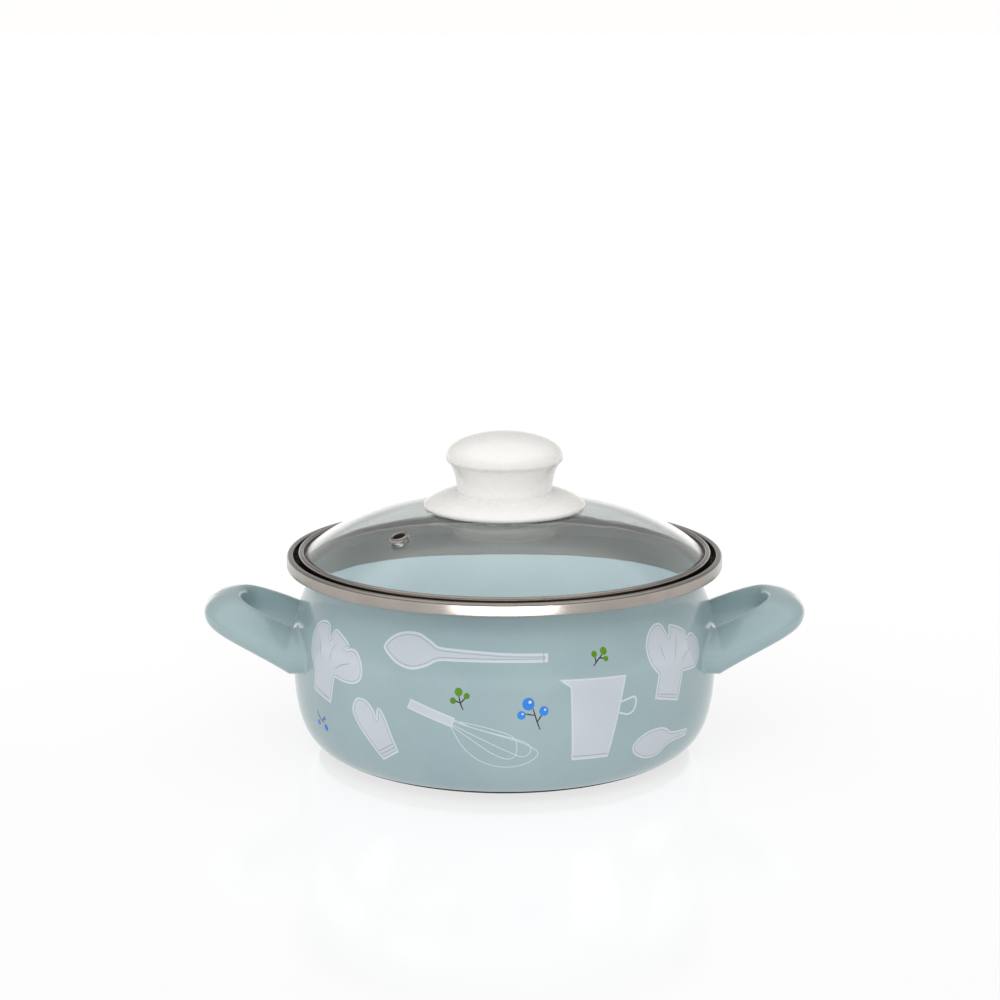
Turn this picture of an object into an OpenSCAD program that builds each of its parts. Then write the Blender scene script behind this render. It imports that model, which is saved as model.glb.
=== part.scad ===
// Enamelled two-handled casserole with a domed glass lid.
// Origin: centre of the flat base, +Z up, the two loop handles lie along X.

/* [Pot] */
// Largest radius of the pot's belly
belly_r = 95.8; // [94.5:0.1:96.2]
// Height of the belly's widest ring
belly_z = 50; // [48:0.2:52]
// Radius where the flat base starts to turn up
base_r = 57; // [50:0.5:62]
// Outer radius of the neck under the rim
neck_r = 88; // [87.6:0.1:88.6]
// Thickness of the enamelled steel wall
wall = 1.4; // [1:0.1:1.4]
// Height of the seat that the lid rests on
seat_z = 86.3; // [86:0.1:86.5]

/* [Pot rim band] */
// Outer radius of the steel band on the pot's rim
band_r = 97.8; // [97.2:0.1:98.4]
// Height of the top of that band
band_top = 90; // [89.6:0.1:90.4]
// Width of the band seen from above
band_w = 2.9; // [2.4:0.1:3.2]
// Sheet thickness of both steel bands
band_t = 0.5; // [0.4:0.05:0.6]

/* [Lid] */
// How flat the dome's middle is: 2 is a parabola, higher is flatter with rounder shoulders
dome_power = 3.3; // [2.8:0.1:3.6]
// Height of the dome's highest point
dome_top = 110.8; // [110:0.1:112]
// Thickness of the glass
glass_t = 3.6; // [3:0.1:4]
// Radius of the glass disc
glass_edge_r = 91.6; // [91.4:0.1:91.8]
// Outer radius of the steel band on the lid
lid_band_r = 92.6; // [92.5:0.1:92.9]
// Width of the lid band's top bead
bead_w = 2.6; // [2.2:0.1:2.8]
// Gap between the seat and the lid's band
lid_gap = 0.3; // [0.2:0.05:0.4]
// Distance of the steam vent from the lid's axis
vent_dist = 62; // [55:1:66]
// Direction of the steam vent seen from above
vent_angle = 223; // [180:1:260]
// Radius of the vent's through hole
vent_r = 2.5; // [2:0.1:2.8]

/* [Knob] */
// Radius of the knob's skirt
skirt_r = 36.3; // [32:0.1:38]
// Height where the grip stands on the skirt
skirt_top = 117.4; // [117:0.1:118.5]
// Radius of the grip's waist
waist_r = 21.4; // [20.5:0.1:22]
// Largest radius of the grip's crown
crown_r = 26.2; // [25:0.1:28]
// Height of the crown's largest ring
crown_z = 133.3; // [132.5:0.1:134]
// Height of the very top of the knob
knob_top = 143.8; // [143:0.1:145.5]
// Radius of the screw that holds the knob
screw_r = 2.5; // [2:0.1:2.6]

/* [Handles] */
// Where the loop's centre line is furthest out
loop_tip_x = 126.6; // [122:0.1:129]
// Half the distance between the loop's two feet
loop_half_y = 30.7; // [29:0.1:32]
// Height of the loop's centre line where it leaves the pot
loop_foot_z = 49.4; // [48:0.1:51]
// Width of the hollow bar at the tip of the loop, seen from above
bar_w = 16.6; // [15:0.1:17]
// Width of the bar where it meets the pot
root_w = 21; // [18:0.1:22]
// Height of the hollow bar at the tip of the loop
bar_h = 13.1; // [11.5:0.1:13.5]
// Height of the bar where it meets the pot
root_h = 18.2; // [15:0.1:18.4]
// Sheet thickness of the two pressed halves
shell_t = 1; // [0.8:0.1:1.2]

/* [Hidden] */
$fn = 96;

// Colours
enamel = [0.62, 0.70, 0.71];
steel = [0.72, 0.70, 0.68];
clear = [0.75, 0.85, 0.85, 0.35];
white = [0.95, 0.95, 0.94];
black = [0.08, 0.08, 0.08];
brass = [0.78, 0.63, 0.30];

// Pot profile
curve_n = 24;
neck_end_z = seat_z - 3.4;       // where the neck starts to bend outwards into the flange
flange_bend = 2;                 // outer radius of that bend
gap_to_band = 0.4;              // room between the flange's edge and the steel band
flange_r = band_r - band_t - gap_to_band; // edge of the flange, inside the steel band
lower_curve = [[base_r, 0], [89, 0], [belly_r, belly_z * 0.1], [belly_r, belly_z]];
upper_curve = [[belly_r, belly_z], [belly_r, 65.8], [neck_r, 72.5], [neck_r, neck_end_z]];

// Lid heights
dome_foot = 88.6;                // height where the dome's curve would end at the glass's edge
lid_bottom = seat_z + lid_gap;   // underside of the lid's steel band
rim_low = lid_bottom + 0.4;      // underside of the glass's flat rim
rim_high = rim_low + 3.1;        // top of the glass's flat rim
lid_sheet = 0.4;                 // sheet thickness of the lid's band
bead_h = 1.2;                    // height of the bead above the glass
collar_r = 85.9;                 // outside of the collar that centres the lid in the neck
collar_low = 82.1;               // its lower edge
knob_hole_r = 4;                 // hole in the glass under the knob

// Knob stack under the glass, from the glass downwards
stack_r = 8.5;
gasket_low = dome_top - glass_t - 1.2;
washer_low = gasket_low - 1;
head_r = 4.8;
head_h = 2.6;
screw_top = 130;
insert_r = 4.2;
insert_low = skirt_top + 0.8;
insert_top = 131;
boss_r = 7;

// Handle sweep
loop_root_x = 84;                // centre of the loop's rounded outline
loop_power = 2.8;                // 2 is an ellipse, higher is squarer
foot_r = belly_r - 1.2;          // the feet reach this far into the wall
rise_x = 92;                     // where loop_foot_z is measured
rise = 0.56;                     // slope of the centre line there
sag = 0.0034;                    // how fast that slope fades towards the tip
root_x = 94.4;                   // where the bar leaves its flared feet
crown_in = 3.4;                  // distance of the bar's highest line from its inner edge
flare = 0.12;                    // how much the feet widen where they meet the pot
foot_n = 4;
section_power = 2.6;             // roundness of the bar's section
slope_power = 1.7;               // the same for the upper face that slopes outwards
ring_n = 36;
side_n = 14;

// ---- helpers ----

function bez_at(p, t) = pow(1 - t, 3) * p[0] + 3 * pow(1 - t, 2) * t * p[1]
    + 3 * (1 - t) * t * t * p[2] + pow(t, 3) * p[3];
function bez_dir(p, t) = pow(1 - t, 2) * (p[1] - p[0]) + 2 * (1 - t) * t * (p[2] - p[1])
    + t * t * (p[3] - p[2]);
function bez(p, n = curve_n) = [for (i = [0 : n]) bez_at(p, i / n)];
// The same curve moved by d to the left of its direction
function bez_side(p, d, n = curve_n) =
    [for (i = [0 : n]) let (v = bez_dir(p, i / n)) bez_at(p, i / n) + d * [-v[1], v[0]] / norm(v)];
function arc(c, rx, ry, a0, a1, n = 12) =
    [for (i = [0 : n]) let (a = a0 + (a1 - a0) * i / n) c + [rx * cos(a), ry * sin(a)]];
function reversed(v) = [for (i = [len(v) - 1 : -1 : 0]) v[i]];
function dome_z(r) = dome_foot + (dome_top - dome_foot) * (1 - pow(r / glass_edge_r, dome_power));
function dome_slope(r) = dome_power * (dome_top - dome_foot) / glass_edge_r
    * pow(r / glass_edge_r, dome_power - 1);
// Point at radius r on the dome, moved t down into the glass
function dome_point(r, t = 0) = let (k = dome_slope(r))
    [r - t * k / norm([1, k]), dome_z(r) - t / norm([1, k])];
// Points along the dome from radius r0 to r1
function dome_line(r0, r1, t = 0, n = 4) =
    [for (i = [0 : n]) dome_point(r0 + (r1 - r0) * i / n, t)];

module ring(points) rotate_extrude() polygon(points);
// Moves its children from the vent's own axis to its place on the dome
module at_vent() rotate([0, 0, vent_angle]) translate([vent_dist, 0, dome_z(vent_dist)])
    rotate([0, atan(dome_slope(vent_dist)), 0]) children();

// ---- pot ----

module pot_shell() {
    outer = concat([[0, 0]], bez(lower_curve), bez(upper_curve),
        arc([neck_r + flange_bend, neck_end_z], flange_bend, flange_bend, 180, 90),
        [[flange_r, seat_z - wall]]);
    inner = concat([[0, wall]], bez_side(lower_curve, wall), bez_side(upper_curve, wall),
        arc([neck_r + flange_bend, neck_end_z], flange_bend + wall, flange_bend + wall, 180, 90),
        [[flange_r, seat_z]]);
    color(enamel) ring(concat(outer, reversed(inner)));
}

module pot_rim_band() {
    low = seat_z - wall - band_t;
    inside = band_r - band_w;
    edge = 0.6;
    round_r = 1.2;
    shoulder = [band_r - round_r, band_top - round_r];
    color(steel) ring(concat(
        [[inside - edge, low]],
        arc([band_r - edge, low + edge], edge, edge, -90, 0, 6),
        arc(shoulder, round_r, round_r, 0, 90),
        arc([inside + edge, band_top - edge], edge, edge, 90, 180, 6),
        [[inside, seat_z], [inside + band_t, seat_z]],
        [[inside + band_t, band_top - edge], [inside + edge, band_top - band_t]],
        arc(shoulder, round_r - band_t, round_r - band_t, 90, 0),
        [[band_r - band_t, low + band_t], [inside - edge, low + band_t]]));
}

// ---- handles: a hollow loop pressed in two halves ----

function loop_x(u) = loop_root_x + (loop_tip_x - loop_root_x) * pow(sin(u), 2 / loop_power);
function loop_y(u) = loop_half_y * sign(cos(u)) * pow(abs(cos(u)), 2 / loop_power);
function loop_z(x) = loop_foot_z + rise * (x - rise_x) - sag * pow(x - rise_x, 2);
function loop_point(u) = let (x = loop_x(u)) [x, loop_y(u), loop_z(x)];
function loop_dir(u) = let (v = loop_point(min(180, u + 0.5)) - loop_point(max(0, u - 0.5)))
    v / norm(v);
// Path angle of ring i, from one root of the loop to the other
u_root = asin(pow((root_x - loop_root_x) / (loop_tip_x - loop_root_x), loop_power / 2));
function ring_u(i) = u_root + (180 - 2 * u_root) * i / ring_n;
function super(a, n) = [sign(cos(a)) * pow(abs(cos(a)), 2 / n), pow(abs(sin(a)), 2 / n)];
// One point of the upright section at u, with a = 0 on the loop's outer side: s is +1 for the
// upper half and -1 for the lower, t is the depth under the surface, k the section's scale
function bar_point(u, a, s, t, k = 1) = let (
        p = loop_point(u),
        d = loop_dir(u),
        q = super(a, s > 0 && cos(a) > 0 ? slope_power : section_power),
        out = let (v = [-d[1], d[0], 0]) v / norm(v),
        h = (bar_h + (root_h - bar_h) * pow((loop_tip_x - p[0]) / (loop_tip_x - root_x), 1.5)) / 2,
        w = (bar_w + (root_w - bar_w) * abs(cos(u))) / 2,
        crown = s > 0 ? crown_in - w : 0,
        side = s > 0 ? (q[0] > 0 ? 2 * w - crown_in : crown_in) : w)
    p + out * (crown + q[0] * (side * k - t)) + [0, 0, s * q[1] * (h * k - t)];
function half_ring(u, s, k = 1) = concat(
    [for (i = [0 : side_n]) bar_point(u, 180 * i / side_n, s, 0, k)],
    [for (i = [side_n : -1 : 0]) bar_point(u, 180 * i / side_n, s, shell_t, k)]);
// A foot's ring: f is 0 inside the pot's wall and 1 at the root of the bar
function foot_ring(u, s, f) = [for (p = half_ring(u, s, 1 + flare * pow(1 - f, 2)))
    let (wall_x = sqrt(foot_r * foot_r - p[1] * p[1])) [wall_x + (p[0] - wall_x) * f, p[1], p[2]]];

module handle_half(s) {
    rings = concat(
        [for (j = [0 : foot_n - 1]) foot_ring(ring_u(0), s, j / foot_n)],
        [for (i = [0 : ring_n]) half_ring(ring_u(i), s)],
        [for (j = [foot_n - 1 : -1 : 0]) foot_ring(ring_u(ring_n), s, j / foot_n)]);
    m = len(rings[0]);
    last = len(rings) - 1;
    sides = [for (j = [0 : last - 1], i = [0 : m - 1]) let (a = j * m + i, b = j * m + (i + 1) % m)
        each [[a, b, a + m], [b, b + m, a + m]]];
    z = last * m;
    ends = [for (i = [0 : side_n - 1]) let (k = m - 1 - i) each [
        [i, k, i + 1], [i + 1, k, k - 1],
        [z + i, z + i + 1, z + k], [z + i + 1, z + k - 1, z + k]]];
    faces = concat(sides, ends);
    color(enamel) polyhedron([for (r = rings) each r],
        s < 0 ? faces : [for (f = faces) reversed(f)], convexity = 6);
}

module handle_left_upper() mirror([1, 0, 0]) handle_half(1);
module handle_left_lower() mirror([1, 0, 0]) handle_half(-1);
module handle_right_upper() handle_half(1);
module handle_right_lower() handle_half(-1);

// ---- lid ----

module lid_glass() {
    // radii where the dome's two faces reach the flat rim
    top_end = glass_edge_r * pow((dome_top - rim_high) / (dome_top - dome_foot), 1 / dome_power);
    low_end = top_end - 0.8;
    color(clear) difference() {
        ring(concat([[0, dome_top - glass_t]], dome_line(4, low_end, glass_t, 28),
            [[dome_point(low_end, glass_t)[0], rim_low]],
            [[glass_edge_r, rim_low], [glass_edge_r, rim_high]],
            dome_line(top_end, 4, 0, 28), [[0, dome_top]]));
        cylinder(r = knob_hole_r, h = dome_top * 2);
        at_vent() translate([0, 0, -20]) cylinder(r = vent_r + 0.5, h = 40);
    }
}

module lid_rim_band() {
    bead_c = [lid_band_r - bead_w / 2, rim_high + 0.1];
    bend = 0.5;
    color(steel) ring(concat(
        [[collar_r - lid_sheet, collar_low], [collar_r, collar_low]],
        arc([collar_r + bend, lid_bottom - bend], bend, bend, 180, 90, 6),
        arc([lid_band_r - lid_sheet, lid_bottom + lid_sheet], lid_sheet, lid_sheet, -90, 0, 6),
        arc(bead_c, bead_w / 2, bead_h, 0, 180),
        arc(bead_c, bead_w / 2 - lid_sheet, bead_h - lid_sheet, 180, 0),
        [[lid_band_r - lid_sheet, rim_low]],
        arc([collar_r + bend, lid_bottom - bend], bend + lid_sheet, bend + lid_sheet, 90, 180, 6)));
}

module lid_band_seal() {
    lip = lid_band_r - bead_w;
    lip_w = 0.6;
    lip_h = 0.4;
    color(black) ring([[glass_edge_r, rim_low], [lid_band_r - lid_sheet, rim_low],
        [lid_band_r - lid_sheet, rim_high + 0.1], [lip, rim_high + 0.1],
        [lip, rim_high + lip_h], [lip - lip_w / 2, rim_high + lip_h],
        [lip - lip_w, rim_high], [glass_edge_r, rim_high]]);
}

module vent_eyelet() {
    tube = 0.4;
    flange = 4.5;
    bulge = 0.8;
    color(steel) at_vent() ring(concat(
        [[vent_r, -glass_t - 1.5], [vent_r + 1.2, -glass_t - 1.5], [vent_r + 1.2, -glass_t - 1.1],
         [vent_r + tube, -glass_t - 1.1], [vent_r + tube, 0.1], [flange, 0.1]],
        arc([(vent_r + flange) / 2, 0.1], (flange - vent_r) / 2, bulge * 2, 0, 180)));
}

module vent_washer() {
    color(steel) at_vent() translate([0, 0, -glass_t - 1.1]) difference() {
        cylinder(r = 4.5, h = 0.9);
        translate([0, 0, -1]) cylinder(r = vent_r + 0.4, h = 3);
    }
}

// ---- knob ----

module knob_skirt() {
    lip = 0.8;
    under = 2.2;
    rim_z = dome_z(skirt_r);
    top_line = [[waist_r + 3, skirt_top - 0.5], [waist_r + 7, skirt_top - 1.8],
                [skirt_r - 4, rim_z + 3.1], [skirt_r - lip, rim_z + 2 * lip]];
    color(white) difference() {
        ring(concat(
            [[0, skirt_top], [waist_r + 0.4, skirt_top]],
            bez(top_line, 12),
            arc([skirt_r - lip, rim_z + lip], lip, lip * 0.9, 80, -60, 6),
            [[skirt_r - 2.4, rim_z + 0.7], [waist_r, skirt_top - under], [boss_r + 5, skirt_top - under],
             [boss_r + 4, dome_top + 0.8], [0, dome_top + 0.8]]));
        translate([0, 0, dome_top - 1]) cylinder(r = screw_r + 0.4, h = 10);
    }
}

module knob_grip() {
    shell = 3;
    crown_h = knob_top - crown_z;
    flare_line = [[waist_r, skirt_top], [waist_r, skirt_top + 7],
                  [crown_r - 2.6, crown_z - 4.6], [crown_r - 1.5, crown_z - 2.9]];
    under_crown = arc([crown_r - 2, crown_z - 0.9], 2, 2, -60, 0, 6);
    color(white) difference() {
        ring(concat([[0, skirt_top]], bez(flare_line, 16), under_crown,
            arc([0, crown_z], crown_r, crown_h, 2, 90, 24)));
        ring([[boss_r, skirt_top - 1], [waist_r - shell, skirt_top - 1],
            [waist_r - shell, skirt_top + 6], [crown_r - 2 * shell, crown_z - 1],
            [crown_r - 2.6 * shell, crown_z + 3], [boss_r + 3, knob_top - 2 * shell + 1],
            [boss_r, crown_z + 3]]);
        translate([0, 0, insert_low]) cylinder(r = insert_r, h = insert_top - insert_low);
        translate([0, 0, skirt_top - 1]) cylinder(r = screw_r + 0.4, h = 3);
    }
}

module knob_insert() {
    color(brass) translate([0, 0, insert_low]) difference() {
        cylinder(r = insert_r, h = insert_top - insert_low);
        translate([0, 0, -1]) cylinder(r = screw_r, h = screw_top - insert_low + 1.5);
    }
}

module knob_screw() {
    color(steel) difference() {
        union() {
            translate([0, 0, washer_low]) cylinder(r = screw_r, h = screw_top - washer_low);
            ring(concat([[0, washer_low - head_h], [head_r - 2, washer_low - head_h]],
                arc([head_r - 2, washer_low], 2, head_h, -90, 0, 8), [[0, washer_low]]));
        }
        for (a = [0, 90]) rotate([0, 0, a]) translate([-2.6, -0.5, washer_low - head_h - 1])
            cube([5.2, 1, 2.3]);
    }
}

module screw_washer() {
    color(steel) translate([0, 0, washer_low]) difference() {
        cylinder(r = stack_r, h = gasket_low - washer_low);
        translate([0, 0, -1]) cylinder(r = screw_r + 0.2, h = 4);
    }
}

module under_gasket() {
    hole = screw_r + 0.2;
    color(black) ring(concat([[hole, gasket_low], [stack_r, gasket_low]],
        dome_line(stack_r, hole, glass_t)));
}

module skirt_gasket() {
    hole = screw_r + 0.2;
    top = dome_top + 0.8;
    color(black) ring(concat(dome_line(hole, boss_r + 4),
        [[boss_r + 4, top], [hole, top]]));
}

pot_shell();
pot_rim_band();
handle_left_upper();
handle_left_lower();
handle_right_upper();
handle_right_lower();
lid_rim_band();
lid_band_seal();
vent_eyelet();
vent_washer();
knob_skirt();
knob_grip();
knob_insert();
knob_screw();
screw_washer();
under_gasket();
skirt_gasket();
lid_glass();
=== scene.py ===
"""Enamelled two-handled casserole with a domed glass lid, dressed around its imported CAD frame."""

import math

import bpy
from mathutils import Matrix, Vector, geometry


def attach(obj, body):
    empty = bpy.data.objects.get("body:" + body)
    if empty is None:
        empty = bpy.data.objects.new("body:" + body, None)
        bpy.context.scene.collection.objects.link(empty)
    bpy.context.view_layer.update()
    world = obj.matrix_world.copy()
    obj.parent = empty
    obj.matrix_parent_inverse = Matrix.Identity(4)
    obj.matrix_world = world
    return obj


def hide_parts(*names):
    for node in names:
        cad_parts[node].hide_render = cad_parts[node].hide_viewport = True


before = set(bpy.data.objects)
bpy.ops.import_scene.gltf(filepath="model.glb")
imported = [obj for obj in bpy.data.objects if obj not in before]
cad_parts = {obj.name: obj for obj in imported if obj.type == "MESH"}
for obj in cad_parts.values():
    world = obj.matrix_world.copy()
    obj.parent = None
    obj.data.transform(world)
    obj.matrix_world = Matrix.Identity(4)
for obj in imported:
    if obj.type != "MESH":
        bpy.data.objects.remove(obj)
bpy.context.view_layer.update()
MM = 0.001
TURN = 2 * math.pi

# ---------------------------------------------------------------- dimensions, in millimetres
BASE_R, BELLY_R, BELLY_Z, NECK_R, WALL = 57.0, 95.8, 50.0, 88.0, 1.4
SEAT_Z, NECK_END = 86.3, 82.9
FLANGE_BEND, FLANGE_R = 2.0, 96.9
LOWER = ((BASE_R, 0), (89, 0), (BELLY_R, 5), (BELLY_R, BELLY_Z))
UPPER = ((BELLY_R, BELLY_Z), (BELLY_R, 65.8), (NECK_R, 72.5), (NECK_R, NECK_END))
BAND_R, BAND_TOP, BAND_W, BAND_T = 97.8, 90.0, 2.9, 0.5
DOME_FOOT, DOME_TOP, DOME_POWER, GLASS_T, GLASS_R = 88.6, 110.8, 3.3, 3.6, 91.6
LID_BOTTOM, RIM_LOW, RIM_HIGH = 86.6, 87.0, 90.1
LID_BAND_R, BEAD_W, BEAD_H, SHEET = 92.6, 2.6, 1.2, 0.4
COLLAR_R, COLLAR_LOW = 85.9, 82.1
VENT_DIST, VENT_ANGLE, VENT_R = 62.0, 223.0, 2.5
SKIRT_R, SKIRT_TOP, WAIST_R, CROWN_R, CROWN_Z, KNOB_TOP = 36.3, 117.4, 21.4, 26.2, 133.3, 143.8
LOOP_X, TIP_X, HALF_Y, LOOP_POWER = 84.0, 126.6, 30.7, 2.8
FOOT_Z, RISE_X, RISE, SAG, ROOT_X = 49.4, 92.0, 0.56, 0.0034, 94.4
BAR_W, ROOT_W, BAR_H, ROOT_H = 16.6, 21.0, 13.1, 18.2
CROWN_IN, SECTION_POWER, SLOPE_POWER, FILLET = 3.4, 2.6, 1.7, 1.2
KNOB_LIP, SKIRT_UNDER, KNOB_BORE = 1.3, 2.2, 3.0
GLASS_HOLE_R, SEAL_LIP_W, SEAL_LIP_H = 4.0, 0.6, 0.4
VENT_FLANGE_R, VENT_TUBE, VENT_BULGE, VENT_TAIL = 4.5, 0.4, 1.6, 1.5

# where the pot's coat changes: near-black under the rim band, near-black painted shade round the foot,
# grey painted shade inside the neck
RIM_DARK_R, RIM_DARK_Z, FOOT_SHADE_Z, NECK_SHADE_Z, INSIDE_BY = 89.5, 86.2, 4.8, 70.2, 0.7

ROUND_N, KNOB_N, VENT_N = 288, 192, 96  # steps round each turned piece
LOWER_N, UPPER_N = 64, 48  # steps along the two curves of the wall


# ---------------------------------------------------------------- curves
def bezier(p, n=48):
    """Points of the cubic curve with the four control points p."""
    out = []
    for i in range(n + 1):
        t = i / n
        w = ((1 - t) ** 3, 3 * (1 - t) ** 2 * t, 3 * (1 - t) * t * t, t ** 3)
        out.append((sum(a * q[0] for a, q in zip(w, p)), sum(a * q[1] for a, q in zip(w, p))))
    return out


def arc(cx, cz, rx, rz, a0, a1, n=16):
    """Points of an elliptical arc from angle a0 to a1, in degrees."""
    angles = [math.radians(a0 + (a1 - a0) * i / n) for i in range(n + 1)]
    return [(cx + rx * math.cos(a), cz + rz * math.sin(a)) for a in angles]


def offset(points, d):
    """The open line moved by d to the left of its direction."""
    out = []
    for i, p in enumerate(points):
        a, b = points[max(0, i - 1)], points[min(len(points) - 1, i + 1)]
        dx, dz = b[0] - a[0], b[1] - a[1]
        k = math.hypot(dx, dz)
        out.append((p[0] - dz / k * d, p[1] + dx / k * d))
    return out


def dome_z(r):
    """Height of the glass's upper face at a radius."""
    return DOME_FOOT + (DOME_TOP - DOME_FOOT) * (1 - (r / GLASS_R) ** DOME_POWER)


def dome_slope(r):
    return DOME_POWER * (DOME_TOP - DOME_FOOT) / GLASS_R * (r / GLASS_R) ** (DOME_POWER - 1)


def dome_line(r0, r1, t=0.0, n=60):
    """The dome's line from radius r0 to r1, t millimetres below its upper face."""
    out = []
    for i in range(n + 1):
        r = r0 + (r1 - r0) * i / n
        k = dome_slope(r)
        out.append((r - t * k / math.hypot(1, k), dome_z(r) - t / math.hypot(1, k)))
    return out


OUTER = bezier(LOWER, LOWER_N) + bezier(UPPER, UPPER_N)[1:]
LENGTHS = [0.0]
for one, two in zip(OUTER, OUTER[1:]):
    LENGTHS.append(LENGTHS[-1] + math.dist(one, two))
BELLY_LENGTH = LENGTHS[LOWER_N]


def wall_radius(z):
    """Outer radius of the pot at a height."""
    for a, b in zip(OUTER, OUTER[1:]):
        if a[1] <= z <= b[1] and b[1] > a[1]:
            return a[0] + (b[0] - a[0]) * (z - a[1]) / (b[1] - a[1])
    return NECK_R


def on_pot(u, s, lift):
    """A point on the pot, u millimetres round the belly from the front and s up the wall from it."""
    want = s + BELLY_LENGTH
    i = max(k for k in range(len(LENGTHS) - 1) if LENGTHS[k] <= max(want, 0))
    a, b = OUTER[i], OUTER[i + 1]
    step = LENGTHS[i + 1] - LENGTHS[i]
    f = (want - LENGTHS[i]) / step
    nr, nz = (b[1] - a[1]) / step, -(b[0] - a[0]) / step
    r = a[0] + (b[0] - a[0]) * f + nr * lift
    z = a[1] + (b[1] - a[1]) * f + nz * lift
    t = u / BELLY_R
    return Vector((r * math.sin(t), -r * math.cos(t), z)) * MM


# ---------------------------------------------------------------- meshes
def piece(name, verts, faces, mats, body, slot, nodes=(), sharp=35, face_mats=None):
    """A smooth-shaded mesh object that rides on a body and stands in for the named CAD nodes."""
    mesh = bpy.data.meshes.new(name)
    mesh.from_pydata([tuple(v) for v in verts], [], faces)
    mesh.validate()
    mesh.update()
    for p in mesh.polygons:
        p.use_smooth = True
    if face_mats:
        for p, m in zip(mesh.polygons, face_mats):
            p.material_index = m
    mesh.set_sharp_from_angle(angle=math.radians(sharp))
    obj = bpy.data.objects.new(name, mesh)
    bpy.context.scene.collection.objects.link(obj)
    for m in mats:
        mesh.materials.append(m)
    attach(obj, body)
    if nodes:
        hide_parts(*nodes)
    return obj


def lathe(profile, closed=True, n=ROUND_N):
    """Verts and faces of a profile turned round Z. A point at radius 0 is a pole."""
    verts, rows = [], []
    for r, z in profile:
        if r < 1e-6:
            rows.append([len(verts)] * n)
            verts.append((0, 0, z * MM))
        else:
            rows.append(list(range(len(verts), len(verts) + n)))
            verts += [(r * MM * math.cos(TURN * k / n), r * MM * math.sin(TURN * k / n), z * MM)
                      for k in range(n)]
    faces = []
    pairs = list(zip(rows, rows[1:])) + ([(rows[-1], rows[0])] if closed else [])
    for a, b in pairs:
        for k in range(n):
            j = (k + 1) % n
            quad = []
            for v in (a[k], a[j], b[j], b[k]):
                if v not in quad:
                    quad.append(v)
            if len(quad) > 2:
                faces.append(tuple(quad))
    return verts, faces


# ---------------------------------------------------------------- materials
def material(name):
    mat = bpy.data.materials.new(name)
    mat.use_nodes = True
    tree = mat.node_tree
    return mat, tree, tree.nodes["Principled BSDF"]


def node(tree, kind, inputs=None, **settings):
    """A new shader node. An input that is a socket is linked, any other is a set value."""
    n = tree.nodes.new(kind)
    for k, v in settings.items():
        setattr(n, k, v)
    for k, v in (inputs or {}).items():
        if isinstance(v, bpy.types.NodeSocket):
            tree.links.new(v, n.inputs[k])
        else:
            n.inputs[k].default_value = v
    return n


def srgb(r, g, b, k=1.0):
    """Linear colour from 0 to 255 display values, times a level k."""
    def lin(c):
        c /= 255
        return c / 12.92 if c <= 0.04045 else ((c + 0.055) / 1.055) ** 2.4
    return (lin(r) * k, lin(g) * k, lin(b) * k, 1)


def noise(tree, coords, scale, detail=3.0, rough=0.5, distortion=0.0):
    return node(tree, "ShaderNodeTexNoise",
                {"Vector": coords, "Scale": scale, "Detail": detail, "Roughness": rough,
                 "Distortion": distortion})


def spread(tree, value, low, high, to_low, to_high):
    return node(tree, "ShaderNodeMapRange", {"Value": value, "From Min": low, "From Max": high,
                                             "To Min": to_low, "To Max": to_high}).outputs["Result"]


def mix(tree, factor, a, b):
    n = node(tree, "ShaderNodeMix", data_type="RGBA")
    tree.links.new(factor, n.inputs["Factor"])
    for key, v in (("A", a), ("B", b)):
        socket = next(i for i in n.inputs if i.name == key and i.type == "RGBA")
        if isinstance(v, bpy.types.NodeSocket):
            tree.links.new(v, socket)
        else:
            socket.default_value = v
    return next(o for o in n.outputs if o.type == "RGBA")


def bump(tree, shader, height, strength, distance):
    b = node(tree, "ShaderNodeBump", {"Height": height, "Strength": strength, "Distance": distance})
    tree.links.new(b.outputs["Normal"], shader.inputs["Normal"])


def glaze(name, light, dark, gloss=0.12, wave=0.35, coat=0.2, specular=0.3):
    """Vitreous enamel: a slightly wavy glassy coat, mottled in colour, with fine pinholes."""
    mat, tree, sh = material(name)
    co = node(tree, "ShaderNodeTexCoord").outputs["Object"]
    broad = noise(tree, co, 26, 3).outputs["Fac"]
    fine = noise(tree, co, 900, 2).outputs["Fac"]
    peel = noise(tree, co, 260, 2).outputs["Fac"]
    both = node(tree, "ShaderNodeMath",
                {0: broad, 1: spread(tree, fine, 0.3, 0.7, -0.06, 0.06)}, operation="ADD")
    colour = mix(tree, spread(tree, both.outputs[0], 0.32, 0.68, 0, 1), dark, light)
    tree.links.new(colour, sh.inputs["Base Color"])
    tree.links.new(spread(tree, peel, 0.3, 0.7, gloss * 0.75, gloss * 1.35), sh.inputs["Roughness"])
    sh.inputs["Coat Weight"].default_value = coat
    sh.inputs["Coat Roughness"].default_value = 0.06
    sh.inputs["Specular IOR Level"].default_value = specular
    sh.inputs["IOR"].default_value = 1.5
    low = noise(tree, co, 55, 2).outputs["Fac"]
    height = node(tree, "ShaderNodeMath",
                  {0: low, 1: spread(tree, peel, 0, 1, 0, 0.05)}, operation="ADD")
    bump(tree, sh, height.outputs[0], wave, 0.0004)
    return mat


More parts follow.
